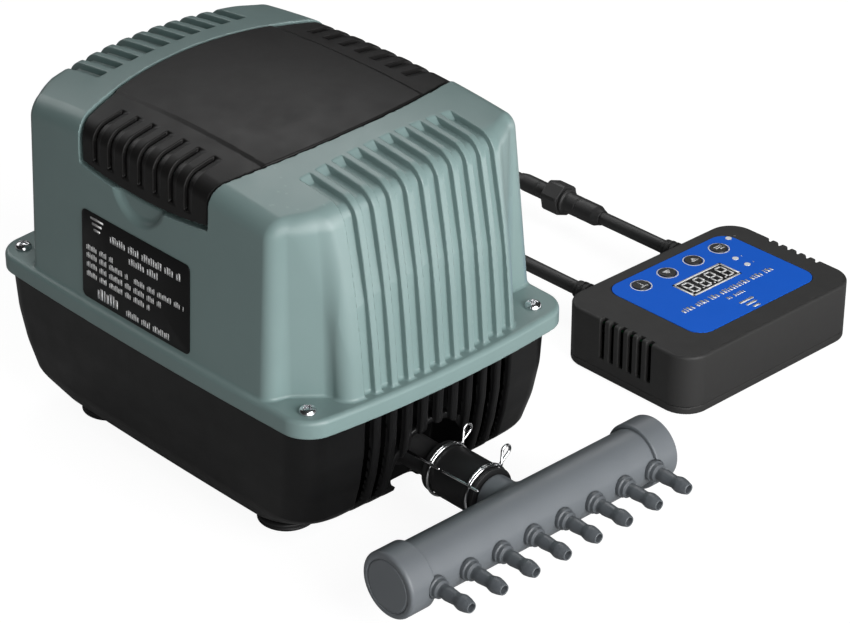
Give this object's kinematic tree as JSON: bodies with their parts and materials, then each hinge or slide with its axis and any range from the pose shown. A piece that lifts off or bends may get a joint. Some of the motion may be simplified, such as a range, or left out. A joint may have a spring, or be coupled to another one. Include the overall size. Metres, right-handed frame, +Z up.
{
  "type": "air pump",
  "caption": "Box-shaped linear diaphragm air pump with a lift-off filter cover, a barbed outlet manifold and a corded speed controller.",
  "frame": {"origin": "centre of the whole set's footprint, on the ground under the feet", "axes": "+Z up, +X towards the outlet manifold's barbs, +Y from the pump towards the controller"},
  "size_m": [0.292, 0.3182, 0.1628],
  "materials": {
    "housing_green": "satin",
    "cover_charcoal": "matte",
    "filter_foam": "open-cell foam",
    "tub_black": "semi-gloss",
    "seal_rubber": "matte",
    "screw_steel": "bright",
    "foot_rubber": "matte",
    "label_black": "satin film",
    "nipple_plastic": "satin",
    "hose_rubber": "satin",
    "clamp_wire": "bright",
    "manifold_pvc": "satin",
    "motor_plastic": "matte",
    "core_steel": "laminated",
    "coil_tape": "satin",
    "rod_metal": "satin",
    "magnet": "bright",
    "membrane_rubber": "matte",
    "cable_black": "satin",
    "boot_rubber": "matte",
    "connector_black": "satin",
    "pin_brass": "bright",
    "case_charcoal": "matte",
    "overlay_blue": "satin film",
    "display_dark": "gloss",
    "board_green": "satin",
    "lamp_clear": "gloss",
    "button_black": "satin"
  },
  "bodies": {
    "body": {"upper_housing": "housing_green", "filter_foam": "filter_foam", "lower_housing": "tub_black", "housing_gasket": "seal_rubber", "tank_gasket": "seal_rubber", "vibration_mounts": "seal_rubber", "air_tubes": "seal_rubber", "housing_screws": "screw_steel", "foot_screws": "screw_steel", "tank_screws": "screw_steel", "head_screws": "screw_steel", "controller_screws": "screw_steel", "rubber_feet": "foot_rubber", "rating_label": "label_black", "outlet_nipple": "nipple_plastic", "outlet_hose": "hose_rubber", "hose_clamp_inner": "clamp_wire", "hose_clamp_outer": "clamp_wire", "manifold_tube": "manifold_pvc", "manifold_cap_front": "manifold_pvc", "manifold_cap_rear": "manifold_pvc", "manifold_barbs": "manifold_pvc", "tank_lid": "motor_plastic", "motor_frame": "motor_plastic", "pump_head_left": "motor_plastic", "pump_head_right": "motor_plastic", "head_covers": "motor_plastic", "stator_cores": "core_steel", "coil_windings": "coil_tape", "diaphragm_left": "membrane_rubber", "diaphragm_right": "membrane_rubber", "pump_cord": "cable_black", "output_cable": "cable_black", "mains_cable": "cable_black", "cord_grommet": "boot_rubber", "strain_reliefs": "boot_rubber", "connector_socket": "connector_black", "connector_plug": "connector_black", "mains_plug": "connector_black", "plug_pins": "pin_brass", "controller_top_case": "case_charcoal", "controller_base": "case_charcoal", "control_overlay": "overlay_blue", "display_module": "display_dark", "circuit_board": "board_green", "indicator_leds": "lamp_clear"},
    "cover": {"filter_cover": "cover_charcoal"},
    "rod": {"drive_rod": "rod_metal", "rod_magnets": "magnet", "clamp_discs": "rod_metal", "rod_nuts": "rod_metal"},
    "intake_flap_left": {"intake_valve_left": "membrane_rubber"},
    "intake_flap_right": {"intake_valve_right": "membrane_rubber"},
    "exhaust_flap_left": {"exhaust_valve_left": "membrane_rubber"},
    "exhaust_flap_right": {"exhaust_valve_right": "membrane_rubber"},
    "key_power": {"button_power": "button_black"},
    "key_down": {"button_down": "button_black"},
    "key_up": {"button_up": "button_black"},
    "key_mode": {"button_mode": "button_black"},
    "union_nut": {"connector_nut": "connector_black"}
  },
  "joints": [
    {"name": "cover_lift", "type": "slide", "parent": "body", "child": "cover", "axis": [0, 0, 1], "range_m": [0, 0.08]},
    {"name": "rod_stroke", "type": "slide", "parent": "body", "child": "rod", "axis": [1, 0, 0], "range_m": [-0.0015, 0.0015], "deforming": ["diaphragm_left", "diaphragm_right"]},
    {"name": "intake_flap_left_swing", "type": "hinge", "parent": "body", "child": "intake_flap_left", "pos_m": [-0.07995, -0.0847, 0.1035], "axis": [0, -1, 0], "range_deg": [0, 10], "stiffness_Nm_per_rad": 0.00002, "springref_deg": -5.73},
    {"name": "intake_flap_right_swing", "type": "hinge", "parent": "body", "child": "intake_flap_right", "pos_m": [0.00195, -0.0847, 0.1035], "axis": [0, 1, 0], "range_deg": [0, 10], "stiffness_Nm_per_rad": 0.00002, "springref_deg": -5.73},
    {"name": "exhaust_flap_left_swing", "type": "hinge", "parent": "body", "child": "exhaust_flap_left", "pos_m": [-0.08305, -0.0847, 0.0685], "axis": [0, -1, 0], "range_deg": [0, 10], "stiffness_Nm_per_rad": 0.00002, "springref_deg": -5.73},
    {"name": "exhaust_flap_right_swing", "type": "hinge", "parent": "body", "child": "exhaust_flap_right", "pos_m": [0.00505, -0.0847, 0.0685], "axis": [0, 1, 0], "range_deg": [0, 10], "stiffness_Nm_per_rad": 0.00002, "springref_deg": -5.73},
    {"name": "key_power_press", "type": "slide", "parent": "body", "child": "key_power", "axis": [0, 0, -1], "range_m": [0, 0.0005]},
    {"name": "key_down_press", "type": "slide", "parent": "body", "child": "key_down", "axis": [0, 0, -1], "range_m": [0, 0.0005]},
    {"name": "key_up_press", "type": "slide", "parent": "body", "child": "key_up", "axis": [0, 0, -1], "range_m": [0, 0.0005]},
    {"name": "key_mode_press", "type": "slide", "parent": "body", "child": "key_mode", "axis": [0, 0, -1], "range_m": [0, 0.0005]},
    {"name": "union_nut_turn", "type": "hinge", "parent": "body", "child": "union_nut", "pos_m": [-0.0863, 0.1363, 0.015], "axis": [1, 0, 0], "continuous": true}
  ]
}
